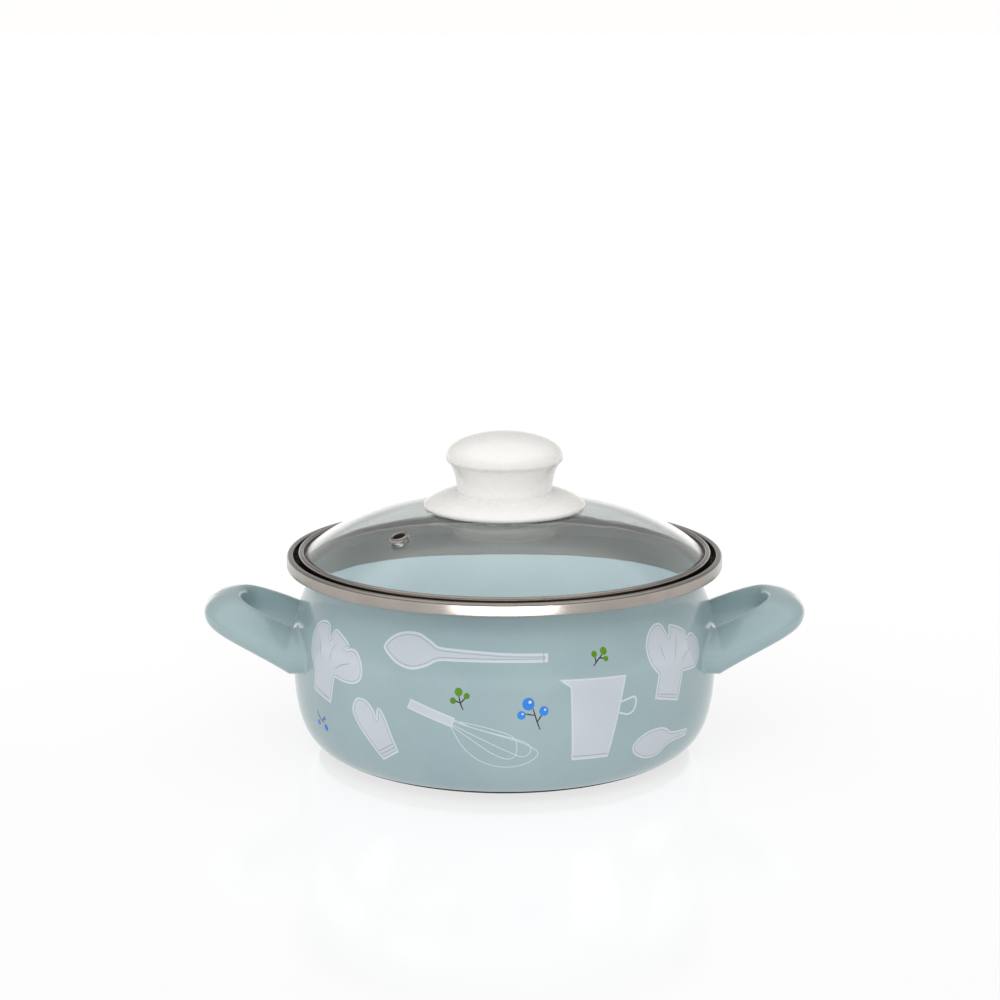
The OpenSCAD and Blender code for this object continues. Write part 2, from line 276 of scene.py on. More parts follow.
def metal(name, light, dark, rough, streak=2600.0, strength=0.25):
    """Rolled steel: fine lines run round the axis."""
    mat, tree, sh = material(name)
    co = node(tree, "ShaderNodeTexCoord").outputs["Object"]
    xyz = node(tree, "ShaderNodeSeparateXYZ", {"Vector": co}).outputs
    xx = node(tree, "ShaderNodeMath", {0: xyz[0], 1: xyz[0]}, operation="MULTIPLY").outputs[0]
    yy = node(tree, "ShaderNodeMath", {0: xyz[1], 1: xyz[1]}, operation="MULTIPLY").outputs[0]
    rr = node(tree, "ShaderNodeMath", {0: xx, 1: yy}, operation="ADD").outputs[0]
    r = node(tree, "ShaderNodeMath", {0: rr}, operation="SQRT").outputs[0]
    across = node(tree, "ShaderNodeCombineXYZ", {"X": r, "Y": xyz[2]}).outputs[0]
    lines = noise(tree, across, streak, 3, 0.6).outputs["Fac"]
    patch = noise(tree, co, 60, 3).outputs["Fac"]
    tree.links.new(mix(tree, spread(tree, patch, 0.3, 0.7, 0, 1), dark, light), sh.inputs["Base Color"])
    tree.links.new(spread(tree, lines, 0.3, 0.7, rough * 0.8, rough * 1.4), sh.inputs["Roughness"])
    sh.inputs["Metallic"].default_value = 1.0
    bump(tree, sh, lines, strength, 0.00002)
    return mat


def moulded(name, light, dark, rough, coat=0.3, grain=0.15):
    """Moulded plastic or rubber: even colour, faint flow marks and a fine grain."""
    mat, tree, sh = material(name)
    co = node(tree, "ShaderNodeTexCoord").outputs["Object"]
    flow = noise(tree, co, 40, 4, 0.55, 0.6).outputs["Fac"]
    fine = noise(tree, co, 500, 2).outputs["Fac"]
    tree.links.new(mix(tree, spread(tree, flow, 0.3, 0.7, 0, 1), dark, light), sh.inputs["Base Color"])
    worn = noise(tree, co, 220, 2).outputs["Fac"]
    tree.links.new(spread(tree, worn, 0.3, 0.7, rough * 0.9, rough * 1.15), sh.inputs["Roughness"])
    sh.inputs["Coat Weight"].default_value = coat
    sh.inputs["Coat Roughness"].default_value = 0.08
    bump(tree, sh, fine, grain, 0.00003)
    return mat


def glass_material():
    """Clear tempered glass with a faint green tint, a thin film of wear and a slight wave."""
    mat, tree, sh = material("tempered_glass")
    co = node(tree, "ShaderNodeTexCoord").outputs["Object"]
    film = noise(tree, co, 30, 4, 0.55, 0.4).outputs["Fac"]
    tint = mix(tree, spread(tree, film, 0.3, 0.7, 0, 1), (0.86, 0.905, 0.895, 1), (0.90, 0.94, 0.93, 1))
    tree.links.new(tint, sh.inputs["Base Color"])
    tree.links.new(spread(tree, film, 0.45, 0.8, 0.0, 0.03), sh.inputs["Roughness"])
    sh.inputs["Transmission Weight"].default_value = 1.0
    sh.inputs["IOR"].default_value = 1.5
    wave = noise(tree, co, 35, 2).outputs["Fac"]
    bump(tree, sh, wave, 0.06, 0.0005)
    return mat


FLOOR_GLOW = 0.74  # the light that the pale floor gives back by itself


def floor_material():
    mat, tree, sh = material("studio_floor")
    co = node(tree, "ShaderNodeTexCoord").outputs["Object"]
    cloud = noise(tree, co, 3, 3).outputs["Fac"]
    grey = mix(tree, spread(tree, cloud, 0.3, 0.7, 0, 1), (0.19, 0.19, 0.19, 1), (0.21, 0.21, 0.21, 1))
    tree.links.new(grey, sh.inputs["Base Color"])
    tree.links.new(spread(tree, cloud, 0.3, 0.7, 0.10, 0.14), sh.inputs["Roughness"])
    sh.inputs["Emission Color"].default_value = (1, 1, 1, 1)
    sh.inputs["Emission Strength"].default_value = FLOOR_GLOW
    return mat


# The third level darkens the enamel inside the neck into painted shade.
K, HANDLE_K, NECK_SHADE_K = 0.86, 0.87, 0.4  # levels of the enamel on the body, the handles and inside the neck
ENAMEL = glaze("enamel_blue_grey", srgb(165, 187, 191, K), srgb(156, 178, 184, K))
HANDLE_ENAMEL = glaze("handle_enamel", srgb(166, 188, 191, HANDLE_K), srgb(157, 180, 184, HANDLE_K))
# Painted shade: a darker grey enamel inside the neck stands in for the shade that the rim band and lid
# cast there.
NECK_PAINTED_SHADE = glaze("inner_neck_painted_shade", srgb(148, 156, 152, NECK_SHADE_K), srgb(134, 142, 138, NECK_SHADE_K))
# A near-black coat: round the foot it is painted shade standing in for the contact shadow, and it also
# darkens the seat under the rim band.
DARK_RIM_PAINTED_FOOT_SHADE = glaze("dark_rim_and_painted_foot_shade", (0.012, 0.013, 0.016, 1), (0.006, 0.007, 0.009, 1),
               gloss=0.5, coat=0.0, specular=0.03)
STEEL = metal("rolled_steel", (0.39, 0.355, 0.325, 1), (0.33, 0.30, 0.275, 1), 0.2)
DULL_STEEL = metal("screw_steel", (0.60, 0.60, 0.59, 1), (0.48, 0.48, 0.48, 1), 0.28)
GLASS = glass_material()
BLACK = moulded("black_silicone", (0.035, 0.035, 0.036, 1), (0.018, 0.018, 0.019, 1),
                rough=0.55, coat=0.0, grain=0.4)
WHITE = moulded("white_knob_plastic", (0.85, 0.835, 0.81, 1), (0.825, 0.81, 0.785, 1),
                rough=0.26, coat=0.2, grain=0.0)
BRASS = metal("turned_brass", (0.78, 0.60, 0.28, 1), (0.66, 0.49, 0.21, 1), 0.25)
MOTIF = glaze("motif_pale", srgb(205, 212, 220, K), srgb(198, 206, 215, K))
MOTIF_EDGE = glaze("motif_edge", srgb(212, 223, 228, K), srgb(206, 217, 223, K))
MOTIF_LINE = glaze("motif_line", srgb(168, 179, 187, K), srgb(158, 169, 177, K))
STEM = glaze("motif_stem", srgb(52, 44, 50, K), srgb(36, 32, 36, K))
LEAF = glaze("motif_green", srgb(104, 156, 22, K), srgb(36, 104, 16, K))
BERRY = glaze("motif_blue", srgb(52, 140, 232, K), srgb(28, 98, 214, K))
SHINE = glaze("motif_shine", srgb(214, 230, 250, K), srgb(196, 220, 248, K))

# ---------------------------------------------------------------- pot
rim_out = arc(NECK_R + FLANGE_BEND, NECK_END, FLANGE_BEND, FLANGE_BEND, 180, 90)
rim_in = arc(NECK_R + FLANGE_BEND, NECK_END, FLANGE_BEND + WALL, FLANGE_BEND + WALL, 180, 90)
inner = offset(bezier(LOWER, LOWER_N), WALL) + offset(bezier(UPPER, UPPER_N), WALL)[1:]
shell = [(0, 0), (30, 0)] + OUTER[:-1] + rim_out + [(FLANGE_R, SEAT_Z - WALL)]
shell += [(FLANGE_R, SEAT_Z)] + rim_in[::-1] + inner[:-1][::-1] + [(30, WALL), (0, WALL)]
pot = piece("pot_body", *lathe(shell, closed=False), [ENAMEL, DARK_RIM_PAINTED_FOOT_SHADE, NECK_PAINTED_SHADE],
            "pot", "enamel", ["pot_shell"])
for face in pot.data.polygons:
    x, y, z = face.center / MM
    r = math.hypot(x, y)
    # faces under the rim band go near-black, and faces facing down round the foot take the near-black
    # painted shade
    under_band = r > RIM_DARK_R and z > RIM_DARK_Z
    painted_foot_shade = z < FOOT_SHADE_Z and face.normal.z < 0
    if under_band or painted_foot_shade:
        face.material_index = 1
    # the inner wall of the neck takes the grey painted shade
    elif z > NECK_SHADE_Z and r < wall_radius(z) - INSIDE_BY:
        face.material_index = 2

low, inside = SEAT_Z - WALL - BAND_T, BAND_R - BAND_W
edge, shoulder_r = 0.6, 1.2
shoulder = (BAND_R - shoulder_r, BAND_TOP - shoulder_r)
band = [(inside - edge, low)] + arc(BAND_R - edge, low + edge, edge, edge, -90, 0, 8)
band += arc(*shoulder, shoulder_r, shoulder_r, 0, 90)
band += arc(inside + edge, BAND_TOP - edge, edge, edge, 90, 180, 8)
band += [(inside, SEAT_Z), (inside + BAND_T, SEAT_Z), (inside + BAND_T, BAND_TOP - edge)]
band += [(inside + edge, BAND_TOP - BAND_T)]
band += arc(*shoulder, shoulder_r - BAND_T, shoulder_r - BAND_T, 90, 0)
band += [(BAND_R - BAND_T, low + BAND_T), (inside - edge, low + BAND_T)]
piece("pot_steel_band", *lathe(band), [STEEL], "pot", "stainless", ["pot_rim_band"])


# ---------------------------------------------------------------- handles
def loop_point(u):
    """The right handle's middle line. u runs from 0 at the back root to pi at the front root."""
    x = LOOP_X + (TIP_X - LOOP_X) * max(0.0, math.sin(u)) ** (2 / LOOP_POWER)
    c = math.cos(u)
    y = HALF_Y * math.copysign(abs(c) ** (2 / LOOP_POWER), c)
    return Vector((x, y, FOOT_Z + RISE * (x - RISE_X) - SAG * (x - RISE_X) ** 2))


def power_point(a, n):
    """A point on a rounded square of size 1: n is 2 for a circle and larger for squarer corners."""
    c, s = math.cos(a), math.sin(a)
    return math.copysign(abs(c) ** (2 / n), c), math.copysign(abs(s) ** (2 / n), s)


def handle(name, side, nodes):
    """A loop handle swept along its middle line, with a fillet where it meets the pot's wall."""
    root = math.asin(((ROOT_X - LOOP_X) / (TIP_X - LOOP_X)) ** (LOOP_POWER / 2))
    steps = 3000
    fine = [root + (math.pi - 2 * root) * i / steps for i in range(steps + 1)]
    run = [0.0]
    for a, b in zip(fine, fine[1:]):
        run.append(run[-1] + (loop_point(b) - loop_point(a)).length)
    rings, around, foot = 110, 72, 16
    stations, k = [], 0
    for i in range(rings + 1):
        while k < steps and run[k] < run[-1] * i / rings:
            k += 1
        stations.append(fine[k])

    def section(u):
        """Points of the bar's section at u with their outward directions."""
        p = loop_point(u)
        step = math.radians(0.5)
        d = loop_point(min(math.pi, u + step)) - loop_point(max(0.0, u - step))
        out = Vector((-d.y, d.x, 0)).normalized()
        h = (BAR_H + (ROOT_H - BAR_H) * max(0.0, (TIP_X - p.x) / (TIP_X - ROOT_X)) ** 1.5) / 2
        w = (BAR_W + (ROOT_W - BAR_W) * abs(math.cos(u))) / 2
        made = []
        for j in range(around):
            a = TURN * j / around
            top = math.sin(a) >= 0
            n = SLOPE_POWER if top and math.cos(a) > 0 else SECTION_POWER
            qx, qz = power_point(a, n)
            wide = (2 * w - CROWN_IN if qx > 0 else CROWN_IN) if top else w
            mid = CROWN_IN - w if top else 0.0
            gx = abs(qx) ** (n - 1) / wide * (1 if qx > 0 else -1)
            gz = abs(qz) ** (n - 1) / h * (1 if qz > 0 else -1)
            g = Vector((gx, 0, gz))
            g.normalize()
            away = out * g.x + Vector((0, 0, g.z))
            made.append((p + out * (mid + qx * wide) + Vector((0, 0, qz * h)), away))
        return made

    def swell(d):
        """How far the fillet stands out at a distance d from the wall."""
        if d >= FILLET:
            return 0.0
        return FILLET - math.sqrt(FILLET ** 2 - (FILLET - max(d, 0.0)) ** 2)

    def wall_x(p):
        """Where the pot's wall is, going out along X through p."""
        return math.sqrt(max(1.0, wall_radius(p.z) ** 2 - p.y ** 2))

    def foot_rows(u):
        """From inside the pot's wall out to the bar."""
        start = section(u)
        buried = 0.6
        rows = []
        for i in range(foot):
            f = (i / foot) ** 1.6
            row = []
            for p, away in start:
                gap = p.x - wall_x(p)
                d = -buried + (gap + buried) * f
                q = p + away * swell(d)
                row.append(Vector((wall_x(q) + d, q.y, q.z)))
            rows.append(row)
        return rows

    bar = []
    for u in stations:
        bar.append([p + away * swell(p.x - wall_x(p)) for p, away in section(u)])
    rows = foot_rows(stations[0]) + bar + foot_rows(stations[-1])[::-1]
    verts = [Vector((side * v.x, v.y, v.z)) * MM for row in rows for v in row]
    faces = []
    for i in range(len(rows) - 1):
        for j in range(around):
            a, b = i * around + j, i * around + (j + 1) % around
            quad = (a, b, b + around, a + around)
            faces.append(quad if side < 0 else quad[::-1])
    # the two ends, each closed by bands across the section
    for first, flip in ((0, side > 0), ((len(rows) - 1) * around, side < 0)):
        for j in range(around // 2):
            a, b = first + j, first + (j + 1)
            c, d = first + (around - j - 1) % around, first + (around - j) % around
            loop = []
            for v in (a, b, c, d):
                if v not in loop:
                    loop.append(v)
            if len(loop) > 2:
                faces.append(tuple(loop) if flip else tuple(reversed(loop)))
    return piece(name, verts, faces, [HANDLE_ENAMEL], "pot", "enamel", nodes, sharp=60)


handle("handle_right", 1, ["handle_right_upper", "handle_right_lower"])
handle("handle_left", -1, ["handle_left_upper", "handle_left_lower"])

# ---------------------------------------------------------------- lid
top_end = GLASS_R * ((DOME_TOP - RIM_HIGH) / (DOME_TOP - DOME_FOOT)) ** (1 / DOME_POWER)
low_end = top_end - 0.8
under = dome_line(GLASS_HOLE_R, low_end, GLASS_T, 110)
glass = under + [(under[-1][0], RIM_LOW), (GLASS_R, RIM_LOW), (GLASS_R, RIM_HIGH)]
glass += dome_line(top_end, GLASS_HOLE_R, 0, 110)
lid = piece("lid_glass_dome", *lathe(glass), [GLASS], "lid", "lid_glass", ["lid_glass"], sharp=40)

bead_x, bead_z, bend = LID_BAND_R - BEAD_W / 2, RIM_HIGH + 0.1, 0.5
rim = [(COLLAR_R - SHEET, COLLAR_LOW), (COLLAR_R, COLLAR_LOW)]
rim += arc(COLLAR_R + bend, LID_BOTTOM - bend, bend, bend, 180, 90, 8)
rim += arc(LID_BAND_R - SHEET, LID_BOTTOM + SHEET, SHEET, SHEET, -90, 0, 8)
rim += arc(bead_x, bead_z, BEAD_W / 2, BEAD_H, 0, 180, 24)
rim += arc(bead_x, bead_z, BEAD_W / 2 - SHEET, BEAD_H - SHEET, 180, 0, 24)
rim += [(LID_BAND_R - SHEET, RIM_LOW)]
rim += arc(COLLAR_R + bend, LID_BOTTOM - bend, bend + SHEET, bend + SHEET, 90, 180, 8)
piece("lid_steel_band", *lathe(rim), [STEEL], "lid", "stainless", ["lid_rim_band"])

lip = LID_BAND_R - BEAD_W
seal = [(GLASS_R, RIM_LOW), (LID_BAND_R - SHEET, RIM_LOW), (LID_BAND_R - SHEET, bead_z), (lip, bead_z)]
seal += [(lip, RIM_HIGH + SEAL_LIP_H), (lip - SEAL_LIP_W / 2, RIM_HIGH + SEAL_LIP_H)]
seal += [(lip - SEAL_LIP_W, RIM_HIGH), (GLASS_R, RIM_HIGH)]
piece("lid_seal", *lathe(seal), [BLACK], "lid", "silicone", ["lid_band_seal"])

turn = math.radians(VENT_ANGLE)
vent_at = Vector((VENT_DIST * math.cos(turn), VENT_DIST * math.sin(turn), dome_z(VENT_DIST)))
TO_VENT = (Matrix.Translation(vent_at * MM)
           @ Matrix.Rotation(turn, 4, "Z") @ Matrix.Rotation(math.atan(dome_slope(VENT_DIST)), 4, "Y"))
tail_low, tail_r = -GLASS_T - VENT_TAIL, VENT_R + 1.2
tail_top = -GLASS_T - 1.1
eyelet = [(VENT_R, tail_low), (tail_r, tail_low), (tail_r, tail_top)]
eyelet += [(VENT_R + VENT_TUBE, tail_top), (VENT_R + VENT_TUBE, 0.05), (VENT_FLANGE_R, 0.05)]
eyelet += arc((VENT_R + VENT_FLANGE_R) / 2, 0.1, (VENT_FLANGE_R - VENT_R) / 2, VENT_BULGE, 0, 180, 20)
verts, faces = lathe(eyelet, n=VENT_N)
# Painted shade: the faces inside the vent's bore take the black silicone, so that the hole looks dark.
bore_r = (VENT_R + 0.3) * MM
painted_bore_shade = [int(max(math.hypot(*verts[i][:2]) for i in f) < bore_r) for f in faces]
piece("vent_ring", [TO_VENT @ Vector(v) for v in verts], faces, [STEEL, BLACK],
      "lid", "stainless", ["vent_eyelet"], face_mats=painted_bore_shade)

# the vent's hole through the glass

cutter_mesh = bpy.data.meshes.new("vent_cutter")
hole_r, reach = VENT_R + 0.5, 20
verts, faces = lathe([(0, -reach), (hole_r, -reach), (hole_r, reach), (0, reach)], closed=False, n=64)
cutter_mesh.from_pydata([tuple(TO_VENT @ Vector(v)) for v in verts], [], faces)
cutter = bpy.data.objects.new("vent_cutter", cutter_mesh)
bpy.context.scene.collection.objects.link(cutter)
cut = lid.modifiers.new("vent_hole", "BOOLEAN")
cut.operation, cut.object, cut.solver = "DIFFERENCE", cutter, "EXACT"
bpy.context.view_layer.update()
cut_mesh = bpy.data.meshes.new_from_object(lid.evaluated_get(bpy.context.evaluated_depsgraph_get()))
lid.modifiers.clear()
lid.data = cut_mesh
bpy.data.objects.remove(cutter)

# ---------------------------------------------------------------- knob
skirt_rim = dome_z(SKIRT_R)
skirt_lip = arc(SKIRT_R - KNOB_LIP, skirt_rim + KNOB_LIP + 0.05, KNOB_LIP, KNOB_LIP, 50, -75, 16)
skirt_face = ((WAIST_R + 1.5, SKIRT_TOP - 0.2), (WAIST_R + 7, SKIRT_TOP - 1.0),
              (SKIRT_R - 3.6, skirt_rim + 4.9), skirt_lip[0])
boss_low, boss_r = DOME_TOP + 0.8, 11
skirt = [(KNOB_BORE, SKIRT_TOP), (WAIST_R + 0.4, SKIRT_TOP)] + bezier(skirt_face, 24) + skirt_lip[1:]
skirt += [(SKIRT_R - 2.4, skirt_rim + 0.7), (WAIST_R, SKIRT_TOP - SKIRT_UNDER)]
skirt += [(boss_r + 1, SKIRT_TOP - SKIRT_UNDER), (boss_r, boss_low), (KNOB_BORE, boss_low)]
piece("knob_base", *lathe(skirt, n=KNOB_N), [WHITE], "lid", "knob_white", ["knob_skirt"], sharp=40)

flare = ((WAIST_R, SKIRT_TOP), (WAIST_R, SKIRT_TOP + 7),
         (CROWN_R - 2.6, CROWN_Z - 4.6), (CROWN_R - 1.5, CROWN_Z - 2.9))
hollow_r = WAIST_R - 3
grip = bezier(flare, 32) + arc(CROWN_R - 2, CROWN_Z - 0.9, 2, 2, -60, 0, 12)
grip += arc(0, CROWN_Z, CROWN_R, KNOB_TOP - CROWN_Z, 2, 88, 43)
grip += [(0, KNOB_TOP), (0, KNOB_TOP - 5), (18, CROWN_Z + 1), (hollow_r, SKIRT_TOP + 6)]
grip += [(hollow_r, SKIRT_TOP + 0.05), (WAIST_R - 0.5, SKIRT_TOP + 0.02)]
piece("knob_handle", *lathe(grip, n=KNOB_N), [WHITE], "lid", "knob_white", ["knob_grip"], sharp=40)

# the small hidden nodes keep their CAD mesh
for name, mat in (("vent_washer", DULL_STEEL), ("knob_insert", BRASS), ("knob_screw", DULL_STEEL),
                  ("screw_washer", DULL_STEEL), ("under_gasket", BLACK), ("skirt_gasket", BLACK)):
    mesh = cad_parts[name].data
    mesh.materials.clear()
    mesh.materials.append(mat)


# ---------------------------------------------------------------- printed motifs
PITCH = 0.8  # spacing of the points along a motif's line
LIFT_STEM, LIFT_FILL, LIFT_JUG_LOOP = 0.030, 0.030, 0.035  # heights above the wall, in millimetres
LIFT_EDGE, LIFT_LINE, LIFT_SHINE, LIFT_DETAIL = 0.040, 0.045, 0.048, 0.05
BURIED = -0.12  # where a motif's lower face lies, inside the wall


def span(p1, p2, m1, m2):
    """Points from p1 up to p2, which is left out, on the smooth line with end slopes m1 and m2."""
    steps = max(3, math.ceil((p2 - p1).length / PITCH))
    out = []
    for k in range(steps):
        t = k / steps
        out.append((2 * t ** 3 - 3 * t * t + 1) * p1 + (t ** 3 - 2 * t * t + t) * m1
                   + (3 * t * t - 2 * t ** 3) * p2 + (t ** 3 - t * t) * m2)
    return out


def curve(points):
    """Closed smooth line. A point with a third value is a corner."""
    n, out = len(points), []
    for i in range(n):
        p0, p1, p2, p3 = (Vector(points[(i + k) % n][:2]) for k in (-1, 0, 1, 2))
        hard1, hard2 = len(points[i]) > 2, len(points[(i + 1) % n]) > 2
        m1 = (p2 - p1) if hard1 else (p2 - p0) / 2
        m2 = (p2 - p1) if hard2 else (p3 - p1) / 2
        out += span(p1, p2, m1, m2)
    return out


class Motif:
    """Thin glazed shapes fused onto the pot's wall, gathered into one piece."""

    def __init__(self, name, u, s, turned=0.0):
        self.name, self.u, self.s, self.turned = name, u, s, math.radians(turned)
        self.verts, self.faces, self.kinds, self.mats = [], [], [], []

    def place(self, p, lift):
        """The point on the pot's wall for a point of the drawing."""
        c, s = math.cos(self.turned), math.sin(self.turned)
        return on_pot(self.u + p[0] * c - p[1] * s, self.s + p[0] * s + p[1] * c, lift)

    def add(self, flat, tris, lift, mat):
        """A closed sheet from lift down into the wall. tris are faces over the 2D points flat."""
        if mat not in self.mats:
            self.mats.append(mat)
        kind = self.mats.index(mat)
        base, n = len(self.verts), len(flat)
        self.verts += [self.place(p, lift) for p in flat] + [self.place(p, BURIED) for p in flat]
        edges = {}
        for f in tris:
            self.faces.append(tuple(base + i for i in f))
            self.faces.append(tuple(base + n + i for i in reversed(f)))
            for a, b in zip(f, f[1:] + f[:1]):
                edges[(a, b)] = 1
        sides = [(a, b) for a, b in edges if (b, a) not in edges]
        for a, b in sides:
            self.faces.append((base + b, base + a, base + n + a, base + n + b))
        self.kinds += [kind] * (2 * len(tris) + len(sides))

    def fill(self, outline, lift, mat):
        """A filled outline. Inner points every step keep the sheet on the pot's curve."""
        xs, ys = [p[0] for p in outline], [p[1] for p in outline]
        points = [Vector(p) for p in outline]
        step, clear = 1.6, 0.7
        for i in range(int((max(xs) - min(xs)) / step) + 1):
            for j in range(int((max(ys) - min(ys)) / step) + 1):
                q = Vector((min(xs) + (i + 0.5) * step, min(ys) + (j + 0.5) * step))
                if inside_of(q, outline) and min((q - p).length for p in points[:len(outline)]) > clear:
                    points.append(q)
        loop = list(range(len(outline)))
        made = geometry.delaunay_2d_cdt(points, [], [loop], 1, 1e-5)
        flat, tris = made[0], []
        for f in made[2]:
            a, b, c = (flat[i] for i in f)
            tris.append(tuple(f) if (b - a).cross(c - a) > 0 else tuple(reversed(f)))
        self.add(flat, tris, lift, mat)

    def stroke(self, line, width, lift, mat, closed=True, ends=1.0):
        """A line of a width. ends is the width at the ends of an open line, as a share."""
        n = len(line)
        left, right = [], []
        for i, p in enumerate(line):
            a = line[(i - 1) % n] if closed else line[max(i - 1, 0)]
            b = line[(i + 1) % n] if closed else line[min(i + 1, n - 1)]
            d = (b - a).normalized()
            k = width / 2
            if not closed:
                k *= ends + (1 - ends) * math.sin(math.pi * i / (n - 1))
            left.append(p + Vector((-d.y, d.x)) * k)
            right.append(p - Vector((-d.y, d.x)) * k)
        tris = [(n + i, n + (i + 1) % n, (i + 1) % n, i) for i in range(n if closed else n - 1)]
        self.add(left + right, tris, lift, mat)

    def disc(self, x, y, rx, ry, lift, mat, n=28):
        ring = [Vector((x + rx * math.cos(TURN * i / n), y + ry * math.sin(TURN * i / n)))
                for i in range(n)]
        self.fill(ring, lift, mat)

    def outlined(self, points, edge_w=1.1, line_in=1.15, line_w=0.32):
        """A pale shape with a lighter edge and, where line_in isn't 0, a thin grey line inside it."""
        outline = curve(points)
        self.fill(outline, LIFT_FILL, MOTIF)
        self.stroke(shrink(outline, edge_w / 2 + 0.05), edge_w, LIFT_EDGE, MOTIF_EDGE)
        if line_in:
            self.stroke(shrink(outline, line_in), line_w, LIFT_LINE, MOTIF_LINE)

    def details(self, lines, width=0.4, ends=1.0):
        for line in lines:
            self.stroke(open_curve(line), width, LIFT_DETAIL, MOTIF_LINE, closed=False, ends=ends)

    def finish(self):
        return piece(self.name, self.verts, self.faces, self.mats, "pot", "enamel",
                     face_mats=self.kinds, sharp=30)


def inside_of(q, outline):
    """Whether a line from q to the right crosses the outline an odd number of times."""
    hit = False
    for a, b in zip(outline, outline[1:] + outline[:1]):
        if (a[1] > q[1]) == (b[1] > q[1]):
            continue
        if q[0] < (b[0] - a[0]) * (q[1] - a[1]) / (b[1] - a[1]) + a[0]:
            hit = not hit
    return hit


def shrink(outline, d):
    """The outline moved inwards by d, with the points that cross another part of it left out."""
    area = sum(a[0] * b[1] - a[1] * b[0] for a, b in zip(outline, outline[1:] + outline[:1]))
    sign, n, out = (1 if area > 0 else -1), len(outline), []
    for i, p in enumerate(outline):
        t = (outline[(i + 1) % n] - outline[i - 1]).normalized()
        q = p + Vector((-t.y, t.x)) * d * sign
        if min((q - o).length for o in outline) > d * 0.9:
            out.append(q)
    return out


def open_curve(points):
    """Open smooth line."""
    full = [points[0]] + list(points) + [points[-1]]
    out = []
    for i in range(1, len(full) - 2):
        p0, p1, p2, p3 = (Vector(full[i + k]) for k in (-1, 0, 1, 2))
        out += span(p1, p2, (p2 - p0) / 2, (p3 - p1) / 2)
    out.append(Vector(points[-1]))
    return out


# Each drawing's points are in millimetres from its own middle, which is at (u, s) on the pot.
C = 1  # marks a corner
hat = Motif("motif_hat_left", -84.6, 3.5)
hat.outlined([(-15.5, -14.5, C), (-1.5, -17.5, C), (2, -5, C), (8, -5.8), (14.2, -5.4), (18.4, -3),
              (19.4, 1.4), (17.8, 6), (14.5, 9.2), (11, 9.5), (7.5, 8.2, C), (10, 10), (8, 12), (4, 14),
              (-1, 15.6), (-3.3, 14.3), (-4, 10.6, C), (-7.2, 16.6), (-12.4, 17.4), (-17, 15.4),
              (-19.4, 10.8), (-19, 5.5), (-17, -1), (-14.2, -5, C)])
hat.details([((1, 9.8), (-1.2, 6), (-2, 1.4)), ((1.8, -1.4), (6.5, 1.4), (11.8, 3)),
             ((-11.5, 8), (-10, 4), (-8, 1)), ((-15, -12.4), (-8, -14), (-1.8, -15.7))], ends=0.3)
hat.finish()

hat = Motif("motif_hat_right", 85.2, 5.5)
hat.outlined([(-15.3, -14, C), (0.3, -18, C), (3.6, -5.7, C), (10, -6.3), (15.6, -5.8), (19, -1.2),
              (18.8, 4.4), (16.4, 8.2), (13, 9.4), (9, 8, C), (9.8, 11), (6.1, 13.7), (1.3, 15.6),
              (-1.2, 15.6), (-3.5, 11, C), (-5.4, 16.4), (-7.6, 18), (-11, 17.9), (-15.2, 15.5),
              (-18.5, 10.8), (-19, 5.6), (-16.8, 0.4), (-13.4, -3.4, C)])
hat.details([((-10.2, 8.8), (-9.6, 5), (-8.2, 1.8)), ((2.1, 10.9), (0, 6), (-2, 0.8)),
             ((10.8, 3), (7, 1.6), (3.2, -1)), ((-14.6, -11.9), (-7.5, -13.4), (-0.2, -15.4))], ends=0.3)
hat.finish()

spoon = Motif("motif_spoon", -42.1, 16.9)
spoon.outlined([(-13.4, -0.2), (-11.2, 4), (-6.9, 6.8), (-1.6, 8), (4, 7.6), (9.6, 4.9), (13.5, 2.9),
                (22, 2.4), (32, 1.9), (45, 1.2), (60.8, 0.8, C), (60.5, -3, C), (45, -2.8), (32, -2.8),
                (22, -2.9), (13.5, -3.3), (8.2, -6), (2.4, -7.8), (-2.8, -7.3), (-8.2, -4.9)],
               edge_w=0.9, line_in=1.5)
spoon.details([((58.9, 1.2), (58.7, -3.2))], width=0.35)
spoon.finish()

mitt = Motif("motif_mitt", -59.4, -20.5)
mitt.outlined([(-7.8, 13.4), (-4, 13.1), (-1.2, 11), (0.6, 8.6), (1.5, 5.2, C), (1.6, 9), (2.8, 10.8),
               (4.8, 9.4), (7.1, 5), (9.4, -1.1), (12, -7.8, C), (3.2, -13.4, C), (-2.3, -7),
               (-8.8, 0.6), (-11.9, 5.9), (-11.6, 9.4), (-10, 12.2)])
mitt.details([((2.6, -10.4), (10.4, -5.8)), ((1.6, -9.2), (9.3, -4.4))])
mitt.finish()

whisk = Motif("motif_whisk", -31.7, -8.7)
whisk.outlined([(-8.7, 5.4, C), (-10.6, 1.1, C), (9.4, -5.5, C), (10.7, -1.2, C)], edge_w=0.7, line_in=0)
for wire in (((9, -5.2), (13.4, -13.2), (18.6, -18.4), (25, -21.6), (32, -22.8), (39, -21.8), (44, -19.2),
              (45.7, -16.6), (43.4, -14), (36.7, -10.6), (26.9, -7.6), (18, -5), (10.2, -2)),
             ((9.4, -4.8), (18.3, -10.9), (26, -16.2), (32, -18.8), (35.4, -18.1), (36.7, -15.7),
              (36.5, -11.4), (34.6, -8.6), (29, -6.3), (21, -4.2), (10.4, -2.4)),
             ((9.8, -4.2), (23.9, -11), (32.8, -15.4), (38.9, -17.9), (41.9, -16.6), (42.6, -14.2),
              (41, -11.9), (35.4, -9.6), (24, -6.6), (10.4, -3))):
    whisk.stroke(open_curve(wire), 0.36, LIFT_EDGE, MOTIF_EDGE, closed=False)
whisk.finish()

